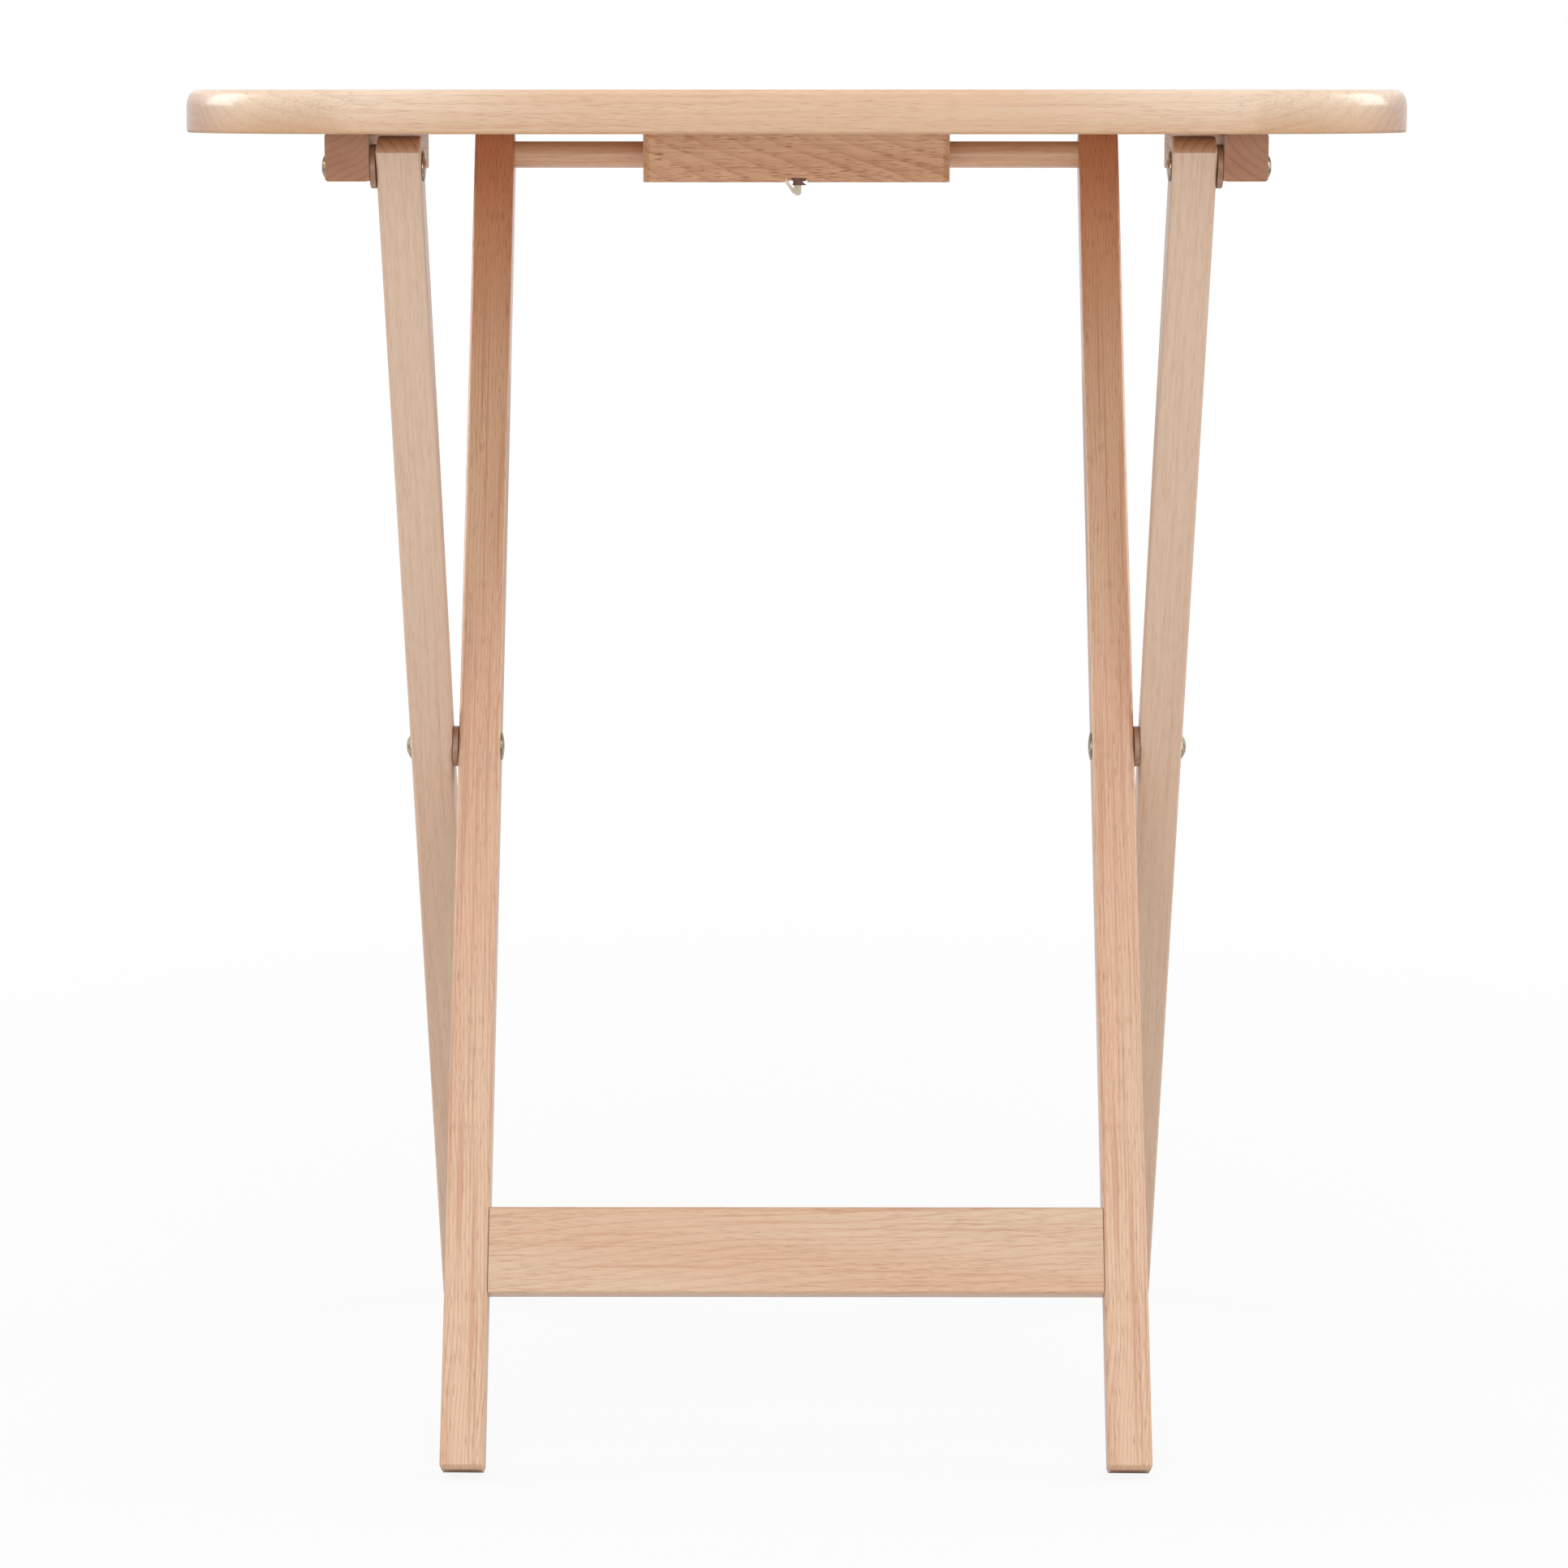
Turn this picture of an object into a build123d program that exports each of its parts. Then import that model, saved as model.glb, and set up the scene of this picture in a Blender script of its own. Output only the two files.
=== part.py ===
"""Folding tray table: every separate piece, in millimetres, +Z up, floor at Z = 0.

X runs to the right, Y to the back. The tabletop is centred on the origin in plan.
"""

import os
from math import asin, cos, radians, sin, sqrt, tan

from build123d import *

os.makedirs("parts", exist_ok=True)

# ---- driving dimensions -------------------------------------------------
TABLE_HEIGHT = 660.0
TOP_WIDTH = 576.0
TOP_DEPTH = 400.0
TOP_THICK = 20.0
TOP_CORNER_R = 95.0
TOP_UPPER_ROUND = 6.0
TOP_LOWER_ROUND = 1.2

LEG_TILT = 25.4  # degrees from vertical, both frames
LEG_WIDTH = 21.2
LEG_THICK = 18.0
LEG_EDGE_ROUND = 2.0
FOOT_CHAMFER = 2.2
FOOT_AXIS_Z = 2.6
OUTER_LEG_X = 173.4  # inner face of the outer leg
INNER_LEG_X = 149.3  # inner face of the inner leg

TOP_PIVOT_Y = -146.5
TOP_PIVOT_Z = 624.6
PIVOT_SPAN = 326.2  # top pivot to middle pivot
DOWEL_SPAN = 327.4  # middle pivot to latch dowel
OUTER_END_R = 14.2
INNER_END_R = 13.5

DOWEL_R = 7.0
DOWEL_SOCKET = 12.0
DOWEL_END_CHAMFER = 1.0
SOCKET_PLAY = 0.2  # depth beyond the end of a dowel or peg

STRETCHER_FROM = 236.1  # distances down the leg from the middle pivot
STRETCHER_TO = 278.2
STRETCHER_THICK = 14.0
STRETCHER_INSET = 0.5
PEG_R = 4.0
PEG_IN_LEG = 12.0
PEG_IN_RAIL = 18.0
PEG_OFFSET = 11.0
PEG_CHAMFER = 0.8
RAIL_ROUND = 1.5

CLEAT_X = 197.5
CLEAT_WIDTH = 20.3
CLEAT_HEIGHT = 22.2
CLEAT_LENGTH = 317.0
CLEAT_ROUND = 1.5
CLEAT_SCREWS_Y = (-110, 0, 110)
CLEAT_SCREW_LENGTH = 32.0

SLEEVE_R = 4.0
SLEEVE_BORE_R = 3.05
BOLT_R = 3.0
HEAD_R = 6.2
BOLT_HEAD_H = 2.8
BOLT_RIM = 0.5
BOLT_REACH = 24.0  # past the end of the nut's sleeve
HEX_R = 2.9
HEX_DEPTH = 1.9
NUT_HEAD_R = 7.0
NUT_HEAD_H = 1.3
NUT_RIM = 0.35
NUT_REACH = 25.0
SLEEVE_SHORT = 3.5  # the sleeve ends this far inside the outer face
SPACER_R = 10.2
SPACER_THICK = 2.7
SPACER_ROUND = 0.5
FIXED_CLEAR = 0.03
RUNNING_CLEAR = 0.05
FACE_CLEAR = 0.15

BLOCK_WIDTH = 161.0
BLOCK_HEIGHT = 28.3
BLOCK_FRONT = 30.0  # ahead of the dowel axis
BLOCK_BACK = 16.0  # behind the dowel axis
BLOCK_CORNER_R = 4.0
BLOCK_SCREWS_X = (-58, 58)
BLOCK_SCREW_AHEAD = 23.5  # ahead of the dowel axis
BLOCK_SCREW_LENGTH = 38.0
GROOVE_CLEAR = 0.35
GROOVE_LEAN = 33.0  # degrees, of the groove's front wall
RECESS_WIDTH = 11.6
RECESS_HEIGHT = 2.3
SCREW_R = 2.0
SCREW_HEAD_R = 4.0
SCREW_HEAD_H = 2.5
SCREW_PILOT = 10.5
SLOT_LENGTH = 4.2
SLOT_WIDTH = 0.9
SLOT_DEPTH = 1.5

PLATE_RISE = 0.5  # above the underside of the block
PLATE_THICK = 1.8
WASHER_DROP = 1.6  # below the underside of the block
WASHER_LENGTH = 11.0
LUG_THICK = 0.9
CLIP_X = 0.6
CLIP_WIDTH = 3.9
CLIP_THICK = 2.0
TAB_THICK = 3.0
CATCH_SCREW_R = 1.5
CATCH_SCREW_SETBACK = 7.4  # behind the front of the block
CATCH_SCREW_PILOT = 14.5
CATCH_SCREW_LENGTH = 17.5
CATCH_HEAD_R = 1.9
CATCH_HEAD_H = 1.2
CATCH_SLOT_LENGTH = 2.2
CATCH_SLOT_WIDTH = 0.6
CATCH_SLOT_DEPTH = 0.7

BASE = (Align.CENTER, Align.CENTER, Align.MIN)
HANG = (Align.CENTER, Align.CENTER, Align.MAX)

# ---- derived positions ---------------------------------------------------
A = radians(LEG_TILT)
HALF = LEG_THICK / 2
UNDER_Z = TABLE_HEIGHT - TOP_THICK
MID_Y = TOP_PIVOT_Y + PIVOT_SPAN * sin(A)
MID_Z = TOP_PIVOT_Z - PIVOT_SPAN * cos(A)
DOWEL_Y = MID_Y + DOWEL_SPAN * sin(A)
DOWEL_Z = MID_Z + DOWEL_SPAN * cos(A)
LEG_BELOW = (MID_Z - FOOT_AXIS_Z) / cos(A)
RAIL_MID = -(STRETCHER_FROM + STRETCHER_TO) / 2
RAIL_OFF = -HALF + STRETCHER_INSET + STRETCHER_THICK / 2
BLOCK_Z = UNDER_Z - BLOCK_HEIGHT
BLOCK_SCREW_Y = DOWEL_Y - BLOCK_SCREW_AHEAD
OUTER_ALONG = Axis((0, 0, 0), (0, -sin(A), cos(A)))
INNER_ALONG = Axis((0, 0, 0), (0, sin(A), cos(A)))


def outer_plane(x):
    """Plane of an outer leg: local X across its thickness, local Y up the leg."""
    return Plane(origin=(x, MID_Y, MID_Z), x_dir=(0, cos(A), sin(A)), z_dir=(1, 0, 0))


def inner_plane(x):
    """Plane of an inner leg: local X across its thickness, local Y up the leg."""
    return Plane(origin=(x, MID_Y, MID_Z), x_dir=(0, cos(A), -sin(A)), z_dir=(1, 0, 0))


def turning_plane(y, z):
    """Plane through a pivot axis: local X along the axis, local Y the radius."""
    return Plane(origin=(0, y, z), x_dir=(1, 0, 0), z_dir=(0, -1, 0))


def dome_mid(x0, x1, r):
    """Middle point of the arc from the rim (x0, r) to the apex (x1, 0)."""
    h = abs(x1 - x0)
    ball = (h * h + r * r) / (2 * h)
    half = asin(r / ball) / 2
    sign = 1 if x1 > x0 else -1
    return (x1 - sign * (ball - ball * cos(half)), ball * sin(half))


def cut_screw_hole(depth):
    """A countersunk hole, cut upwards from the current places."""
    Cylinder(SCREW_R + FIXED_CLEAR, depth, align=BASE, mode=Mode.SUBTRACT)
    Cone(SCREW_HEAD_R + FIXED_CLEAR, SCREW_R + FIXED_CLEAR, SCREW_HEAD_H, align=BASE, mode=Mode.SUBTRACT)


def screw(x, y, z, length):
    """A countersunk screw that points up from z, with a crossed slot in its head."""
    with BuildPart() as made:
        with Locations((x, y, z)):
            Cone(SCREW_HEAD_R, SCREW_R, SCREW_HEAD_H, align=BASE)
            Cylinder(SCREW_R, length, align=BASE)
        with BuildSketch(Plane(origin=(x, y, z), z_dir=(0, 0, 1))):
            Rectangle(SLOT_LENGTH, SLOT_WIDTH)
            Rectangle(SLOT_WIDTH, SLOT_LENGTH)
        extrude(amount=SLOT_DEPTH, mode=Mode.SUBTRACT)
    return made.part


# ---- tabletop -------------------------------------------------------------
with BuildPart() as tabletop:
    with BuildSketch(Plane.XY.offset(UNDER_Z)):
        RectangleRounded(TOP_WIDTH, TOP_DEPTH, TOP_CORNER_R)
    extrude(amount=TOP_THICK)
    fillet(tabletop.faces().sort_by(Axis.Z)[-1].edges(), TOP_UPPER_ROUND)
    fillet(tabletop.faces().sort_by(Axis.Z)[0].edges(), TOP_LOWER_ROUND)
    with Locations(*[(s * (CLEAT_X + CLEAT_WIDTH / 2), y, UNDER_Z) for s in (-1, 1) for y in CLEAT_SCREWS_Y]):
        Cylinder(SCREW_R + FIXED_CLEAR, SCREW_PILOT, align=BASE, mode=Mode.SUBTRACT)
    with Locations(*[(x, BLOCK_SCREW_Y, UNDER_Z) for x in BLOCK_SCREWS_X]):
        Cylinder(SCREW_R + FIXED_CLEAR, SCREW_PILOT, align=BASE, mode=Mode.SUBTRACT)
tabletop.part.label = "tabletop"
export_step(tabletop.part, "parts/tabletop.step")

# ---- cleats under the tabletop, with their screws -------------------------
for side, s in (("left", -1), ("right", 1)):
    cleat_centre = s * (CLEAT_X + CLEAT_WIDTH / 2)
    with BuildPart() as cleat:
        with Locations((cleat_centre, 0, UNDER_Z)):
            Box(CLEAT_WIDTH, CLEAT_LENGTH, CLEAT_HEIGHT, align=HANG)
        fillet(cleat.faces().sort_by(Axis.Z)[0].edges(), CLEAT_ROUND)
        with BuildSketch(Plane(origin=(cleat_centre - 15, TOP_PIVOT_Y, TOP_PIVOT_Z), z_dir=(1, 0, 0))):
            Circle(SLEEVE_R + FIXED_CLEAR)
        extrude(amount=30, mode=Mode.SUBTRACT)
        with Locations(*[(cleat_centre, y, UNDER_Z - CLEAT_HEIGHT) for y in CLEAT_SCREWS_Y]):
            cut_screw_hole(CLEAT_HEIGHT)
    cleat.part.label = f"cleat_{side}"
    export_step(cleat.part, f"parts/cleat_{side}.step")

    for n, y in enumerate(CLEAT_SCREWS_Y, 1):
        cleat_screw = screw(cleat_centre, y, UNDER_Z - CLEAT_HEIGHT, CLEAT_SCREW_LENGTH)
        cleat_screw.label = f"cleat_screw_{side}_{n}"
        export_step(cleat_screw, f"parts/cleat_screw_{side}_{n}.step")

# ---- legs -----------------------------------------------------------------
for side, s in (("left", -1), ("right", 1)):
    outer_start = OUTER_LEG_X if s > 0 else -OUTER_LEG_X - LEG_WIDTH
    inner_start = INNER_LEG_X if s > 0 else -INNER_LEG_X - LEG_WIDTH

    with BuildPart() as outer_leg:
        shoulder = PIVOT_SPAN + sqrt(OUTER_END_R**2 - HALF**2)
        with BuildSketch(outer_plane(outer_start)):
            with BuildLine():
                Polyline((-HALF, shoulder), (-HALF, -LEG_BELOW), (HALF, -LEG_BELOW), (HALF, shoulder))
                ThreePointArc((HALF, shoulder), (0, PIVOT_SPAN + OUTER_END_R), (-HALF, shoulder))
            make_face()
        extrude(amount=LEG_WIDTH)
        chamfer(outer_leg.faces().sort_by(OUTER_ALONG)[0].edges(), FOOT_CHAMFER)
        fillet(outer_leg.edges().filter_by(OUTER_ALONG), LEG_EDGE_ROUND)
        with Locations((outer_start + LEG_WIDTH / 2, MID_Y + LEG_BELOW * sin(A), 0)):
            Box(60, 60, 20, align=HANG, mode=Mode.SUBTRACT)
        with BuildSketch(outer_plane(outer_start - 2)):
            with Locations((0, PIVOT_SPAN)):
                Circle(SLEEVE_R + RUNNING_CLEAR)
            Circle(SLEEVE_R + FIXED_CLEAR)
        extrude(amount=LEG_WIDTH + 4, mode=Mode.SUBTRACT)
    outer_leg.part.label = f"outer_leg_{side}"
    export_step(outer_leg.part, f"parts/outer_leg_{side}.step")

    with BuildPart() as inner_leg:
        shoulder = DOWEL_SPAN + sqrt(INNER_END_R**2 - HALF**2)
        with BuildSketch(inner_plane(inner_start)):
            with BuildLine():
                Polyline((-HALF, shoulder), (-HALF, -LEG_BELOW), (HALF, -LEG_BELOW), (HALF, shoulder))
                ThreePointArc((HALF, shoulder), (0, DOWEL_SPAN + INNER_END_R), (-HALF, shoulder))
            make_face()
        extrude(amount=LEG_WIDTH)
        chamfer(inner_leg.faces().sort_by(INNER_ALONG)[0].edges(), FOOT_CHAMFER)
        fillet(inner_leg.edges().filter_by(INNER_ALONG), LEG_EDGE_ROUND)
        with Locations((inner_start + LEG_WIDTH / 2, MID_Y - LEG_BELOW * sin(A), 0)):
            Box(60, 60, 20, align=HANG, mode=Mode.SUBTRACT)
        with BuildSketch(inner_plane(inner_start - 2)):
            Circle(SLEEVE_R + RUNNING_CLEAR)
        extrude(amount=LEG_WIDTH + 4, mode=Mode.SUBTRACT)
        with BuildSketch(inner_plane(s * (INNER_LEG_X - 2))):
            with Locations((0, DOWEL_SPAN)):
                Circle(DOWEL_R + FIXED_CLEAR)
        extrude(amount=s * (2 + DOWEL_SOCKET + SOCKET_PLAY), mode=Mode.SUBTRACT)
        with BuildSketch(inner_plane(s * (INNER_LEG_X - 2))):
            with Locations((RAIL_OFF, RAIL_MID - PEG_OFFSET), (RAIL_OFF, RAIL_MID + PEG_OFFSET)):
                Circle(PEG_R + FIXED_CLEAR)
        extrude(amount=s * (2 + PEG_IN_LEG + SOCKET_PLAY), mode=Mode.SUBTRACT)
    inner_leg.part.label = f"inner_leg_{side}"
    export_step(inner_leg.part, f"parts/inner_leg_{side}.step")

# ---- latch dowel between the inner leg tops --------------------------------
with BuildPart() as latch_dowel:
    with BuildSketch(Plane(origin=(-INNER_LEG_X - DOWEL_SOCKET, DOWEL_Y, DOWEL_Z), z_dir=(1, 0, 0))):
        Circle(DOWEL_R)
    extrude(amount=2 * (INNER_LEG_X + DOWEL_SOCKET))
    chamfer(latch_dowel.edges(), DOWEL_END_CHAMFER)
latch_dowel.part.label = "latch_dowel"
export_step(latch_dowel.part, "parts/latch_dowel.step")

# ---- lower stretcher and its pegs ------------------------------------------
with BuildPart() as lower_stretcher:
    with BuildSketch(inner_plane(-INNER_LEG_X)):
        with Locations((RAIL_OFF, RAIL_MID)):
            Rectangle(STRETCHER_THICK, STRETCHER_TO - STRETCHER_FROM)
    extrude(amount=2 * INNER_LEG_X)
    fillet(lower_stretcher.edges().filter_by(Axis.X), RAIL_ROUND)
    for x, direction in ((-INNER_LEG_X, 1), (INNER_LEG_X, -1)):
        with BuildSketch(inner_plane(x)):
            with Locations((RAIL_OFF, RAIL_MID - PEG_OFFSET), (RAIL_OFF, RAIL_MID + PEG_OFFSET)):
                Circle(PEG_R + FIXED_CLEAR)
        extrude(amount=direction * (PEG_IN_RAIL + SOCKET_PLAY), mode=Mode.SUBTRACT)
lower_stretcher.part.label = "lower_stretcher"
export_step(lower_stretcher.part, "parts/lower_stretcher.step")

for side, s in (("left", -1), ("right", 1)):
    for level, offset in (("lower", -PEG_OFFSET), ("upper", PEG_OFFSET)):
        with BuildPart() as peg:
            with BuildSketch(inner_plane(s * (INNER_LEG_X - PEG_IN_RAIL))):
                with Locations((RAIL_OFF, RAIL_MID + offset)):
                    Circle(PEG_R)
            extrude(amount=s * (PEG_IN_RAIL + PEG_IN_LEG))
            chamfer(peg.edges(), PEG_CHAMFER)
        peg.part.label = f"stretcher_peg_{side}_{level}"
        export_step(peg.part, f"parts/stretcher_peg_{side}_{level}.step")

# ---- pivots: bolt, cap nut with sleeve, spacer ------------------------------
# name, axis Y, axis Z, outer face, inner face, inner face of the spacer
PIVOTS = (
    ("top", TOP_PIVOT_Y, TOP_PIVOT_Z, CLEAT_X + CLEAT_WIDTH, OUTER_LEG_X, CLEAT_X - SPACER_THICK),
    ("mid", MID_Y, MID_Z, OUTER_LEG_X + LEG_WIDTH, INNER_LEG_X, OUTER_LEG_X - SPACER_THICK),
)
for side, s in (("left", -1), ("right", 1)):
    for name, y, z, x_out, x_in, x_spacer in PIVOTS:
        spin = Axis((0, y, z), (1, 0, 0))
        x_sleeve = x_out - SLEEVE_SHORT
        tip = x_sleeve - BOLT_REACH
        rim, apex = x_out + BOLT_RIM, x_out + BOLT_HEAD_H
        with BuildPart() as bolt:
            with BuildSketch(turning_plane(y, z)):
                with BuildLine():
                    Polyline((s * apex, 0), (s * tip, 0), (s * tip, BOLT_R), (s * x_out, BOLT_R))
                    Polyline((s * x_out, BOLT_R), (s * x_out, HEAD_R), (s * rim, HEAD_R))
                    ThreePointArc((s * rim, HEAD_R), dome_mid(s * rim, s * apex, HEAD_R), (s * apex, 0))
                make_face()
            revolve(axis=spin)
            with BuildSketch(Plane(origin=(s * apex, y, z), z_dir=(-s, 0, 0))):
                RegularPolygon(radius=HEX_R, side_count=6)
            extrude(amount=HEX_DEPTH, mode=Mode.SUBTRACT)
        bolt.part.label = f"{name}_bolt_{side}"
        export_step(bolt.part, f"parts/{name}_bolt_{side}.step")

        base = x_in - FACE_CLEAR
        rim, apex = base - NUT_RIM, base - NUT_HEAD_H
        bottom = x_sleeve - NUT_REACH
        with BuildPart() as nut:
            with BuildSketch(turning_plane(y, z)):
                with BuildLine():
                    Polyline(
                        (s * apex, 0),
                        (s * bottom, 0),
                        (s * bottom, SLEEVE_BORE_R),
                        (s * x_sleeve, SLEEVE_BORE_R),
                        (s * x_sleeve, SLEEVE_R),
                        (s * base, SLEEVE_R),
                        (s * base, NUT_HEAD_R),
                        (s * rim, NUT_HEAD_R),
                    )
                    mid_point = dome_mid(s * rim, s * apex, NUT_HEAD_R)
                    ThreePointArc((s * rim, NUT_HEAD_R), mid_point, (s * apex, 0))
                make_face()
            revolve(axis=spin)
        nut.part.label = f"{name}_nut_{side}"
        export_step(nut.part, f"parts/{name}_nut_{side}.step")

        with BuildPart() as spacer:
            with BuildSketch(Plane(origin=(s * x_spacer, y, z), z_dir=(s, 0, 0))):
                Circle(SPACER_R)
                Circle(SLEEVE_R + FIXED_CLEAR, mode=Mode.SUBTRACT)
            extrude(amount=SPACER_THICK)
            fillet(spacer.edges().filter_by(GeomType.CIRCLE).sort_by(SortBy.RADIUS)[-2:], SPACER_ROUND)
        spacer.part.label = f"{name}_spacer_{side}"
        export_step(spacer.part, f"parts/{name}_spacer_{side}.step")

# ---- catch block under the tabletop ------------------------------------------
groove = DOWEL_R + GROOVE_CLEAR
front_y, back_y = DOWEL_Y - BLOCK_FRONT, DOWEL_Y + BLOCK_BACK
# the dowel leaves forwards and down as the legs close, so the front wall leans that way
lean = radians(GROOVE_LEAN)
wall_top = (DOWEL_Y - groove * cos(lean), DOWEL_Z + groove * sin(lean))
wall_drop = wall_top[1] - (BLOCK_Z - 1)
wall_foot = (wall_top[0] - wall_drop * tan(lean), BLOCK_Z - 1)
mouth_y = wall_top[0] - (wall_top[1] - BLOCK_Z) * tan(lean)
rear_y = DOWEL_Y + groove
CATCH_SCREW_Y = front_y + CATCH_SCREW_SETBACK
with BuildPart() as catch_block:
    with Locations((0, (front_y + back_y) / 2, UNDER_Z)):
        Box(BLOCK_WIDTH, BLOCK_FRONT + BLOCK_BACK, BLOCK_HEIGHT, align=HANG)
    fillet(catch_block.edges().filter_by(Axis.Z), BLOCK_CORNER_R)
    with BuildSketch(Plane.YZ.offset(-BLOCK_WIDTH / 2 - 1)):
        with Locations((DOWEL_Y, DOWEL_Z)):
            Circle(groove)
        with BuildLine():
            Polyline(
                wall_top,
                wall_foot,
                (rear_y, BLOCK_Z - 1),
                (rear_y, DOWEL_Z),
                (DOWEL_Y, DOWEL_Z),
                wall_top,
            )
        make_face()
    extrude(amount=BLOCK_WIDTH + 2, mode=Mode.SUBTRACT)
    with Locations(*[(x, BLOCK_SCREW_Y, BLOCK_Z) for x in BLOCK_SCREWS_X]):
        cut_screw_hole(BLOCK_HEIGHT)
    with Locations((0, front_y - 1, BLOCK_Z)):
        recess_length = mouth_y - front_y + 5
        onward = (Align.CENTER, Align.MIN, Align.MIN)
        Box(RECESS_WIDTH, recess_length, RECESS_HEIGHT, align=onward, mode=Mode.SUBTRACT)
    with Locations((CLIP_X, CATCH_SCREW_Y, BLOCK_Z)):
        Cylinder(CATCH_SCREW_R + FIXED_CLEAR, CATCH_SCREW_PILOT, align=BASE, mode=Mode.SUBTRACT)
catch_block.part.label = "catch_block"
export_step(catch_block.part, "parts/catch_block.step")

for side, x in zip(("left", "right"), BLOCK_SCREWS_X):
    block_screw = screw(x, BLOCK_SCREW_Y, BLOCK_Z, BLOCK_SCREW_LENGTH)
    block_screw.label = f"block_screw_{side}"
    export_step(block_screw, f"parts/block_screw_{side}.step")

# ---- snap catch: plate, washer, side lug, nylon clip, one screw -----------------
PLATE_Z = BLOCK_Z + PLATE_RISE
WASHER_Z = BLOCK_Z - WASHER_DROP
with BuildPart() as catch_plate:
    with BuildSketch(Plane(origin=(0, front_y + 0.3, 0), x_dir=(1, 0, 0), z_dir=(0, -1, 0))):
        with BuildLine():
            Polyline(
                (-2.8, PLATE_Z + PLATE_THICK),
                (5.2, PLATE_Z + PLATE_THICK),
                (4.6, PLATE_Z),
                (-1.9, PLATE_Z),
                (-2.8, PLATE_Z + PLATE_THICK),
            )
        make_face()
    extrude(amount=-(mouth_y - front_y - 1.2))
    with Locations((CLIP_X, CATCH_SCREW_Y, PLATE_Z)):
        Cylinder(CATCH_SCREW_R + FIXED_CLEAR, PLATE_THICK, align=BASE, mode=Mode.SUBTRACT)
catch_plate.part.label = "catch_plate"
export_step(catch_plate.part, "parts/catch_plate.step")

with BuildPart() as catch_washer:
    with BuildSketch(Plane(origin=(0, front_y + 0.9, 0), x_dir=(1, 0, 0), z_dir=(0, -1, 0))):
        with BuildLine():
            Polyline(
                (-1.6, PLATE_Z),
                (3.1, PLATE_Z),
                (3.4, PLATE_Z - 0.7),
                (5.1, WASHER_Z),
                (3.6, WASHER_Z),
                (-2.1, WASHER_Z),
                (-1.6, PLATE_Z),
            )
        make_face()
    extrude(amount=-WASHER_LENGTH)
    with Locations((CLIP_X, CATCH_SCREW_Y, WASHER_Z)):
        Cylinder(CATCH_SCREW_R + FIXED_CLEAR, PLATE_Z - WASHER_Z, align=BASE, mode=Mode.SUBTRACT)
catch_washer.part.label = "catch_washer"
export_step(catch_washer.part, "parts/catch_washer.step")

with BuildPart() as catch_lug:
    with BuildSketch(Plane(origin=(0, front_y + 0.3, 0), x_dir=(1, 0, 0), z_dir=(0, -1, 0))):
        with BuildLine():
            Polyline(
                (-5.6, PLATE_Z + 1.7),
                (-5.1, PLATE_Z + 1.7),
                (-2.2, WASHER_Z - 1.0),
                (-1.4, WASHER_Z - 1.6),
                (-1.4, BLOCK_Z - 6.1),
                (-1.9, BLOCK_Z - 5.8),
                (-5.6, BLOCK_Z - 0.6),
                (-5.6, PLATE_Z + 1.7),
            )
        make_face()
    extrude(amount=-LUG_THICK)
catch_lug.part.label = "catch_lug"
export_step(catch_lug.part, "parts/catch_lug.step")

cup = DOWEL_R + GROOVE_CLEAR + RUNNING_CLEAR
cup_rear = (DOWEL_Y + cup * sin(radians(50)), DOWEL_Z - cup * cos(radians(50)))
cup_front = (DOWEL_Y - cup * sin(radians(38)), DOWEL_Z - cup * cos(radians(38)))
with BuildPart() as catch_clip:
    with BuildSketch(Plane.YZ.offset(CLIP_X - CLIP_WIDTH / 2)):
        with BuildLine():
            Polyline(
                (front_y + 1.5, WASHER_Z),
                (front_y + 1.5, WASHER_Z - CLIP_THICK),
                (mouth_y + 3.5, WASHER_Z - CLIP_THICK),
                (DOWEL_Y + 1.5, DOWEL_Z - cup - 3.0),
                (rear_y - 0.8, DOWEL_Z - cup - 1.2),
                (rear_y - 0.8, DOWEL_Z - 4.2),
                cup_rear,
            )
            ThreePointArc(cup_rear, (DOWEL_Y, DOWEL_Z - cup), cup_front)
            Polyline(cup_front, (mouth_y + 2.8, WASHER_Z), (front_y + 1.5, WASHER_Z))
        make_face()
    extrude(amount=CLIP_WIDTH)
    with BuildSketch(Plane(origin=(0, front_y + 1.5, 0), x_dir=(1, 0, 0), z_dir=(0, -1, 0))):
        with Locations((CLIP_X, WASHER_Z - 2.6)):
            Rectangle(CLIP_WIDTH, 3.2)
        with Locations((CLIP_X, WASHER_Z - 3.4)):
            Circle(CLIP_WIDTH / 2)
    extrude(amount=-TAB_THICK)
    with Locations((CLIP_X, CATCH_SCREW_Y, WASHER_Z - CLIP_THICK)):
        Cylinder(CATCH_SCREW_R + FIXED_CLEAR, CLIP_THICK, align=BASE, mode=Mode.SUBTRACT)
catch_clip.part.label = "catch_clip"
export_step(catch_clip.part, "parts/catch_clip.step")

with BuildPart() as catch_screw:
    with Locations((CLIP_X, CATCH_SCREW_Y, WASHER_Z - CLIP_THICK)):
        Cylinder(CATCH_SCREW_R, CATCH_SCREW_LENGTH, align=BASE)
        Cylinder(CATCH_HEAD_R, CATCH_HEAD_H, align=HANG)
    head_z = WASHER_Z - CLIP_THICK - CATCH_HEAD_H
    with BuildSketch(Plane(origin=(CLIP_X, CATCH_SCREW_Y, head_z), z_dir=(0, 0, 1))):
        Rectangle(CATCH_SLOT_LENGTH, CATCH_SLOT_WIDTH)
        Rectangle(CATCH_SLOT_WIDTH, CATCH_SLOT_LENGTH)
    extrude(amount=CATCH_SLOT_DEPTH, mode=Mode.SUBTRACT)
catch_screw.part.label = "catch_screw"
export_step(catch_screw.part, "parts/catch_screw.step")
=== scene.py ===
"""Looks of a folding tray table: board, crossed legs, rail, dowel and catch."""

from __future__ import annotations

import logging
import math
from dataclasses import dataclass
from enum import Enum
from typing import Iterable, Sequence

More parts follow.
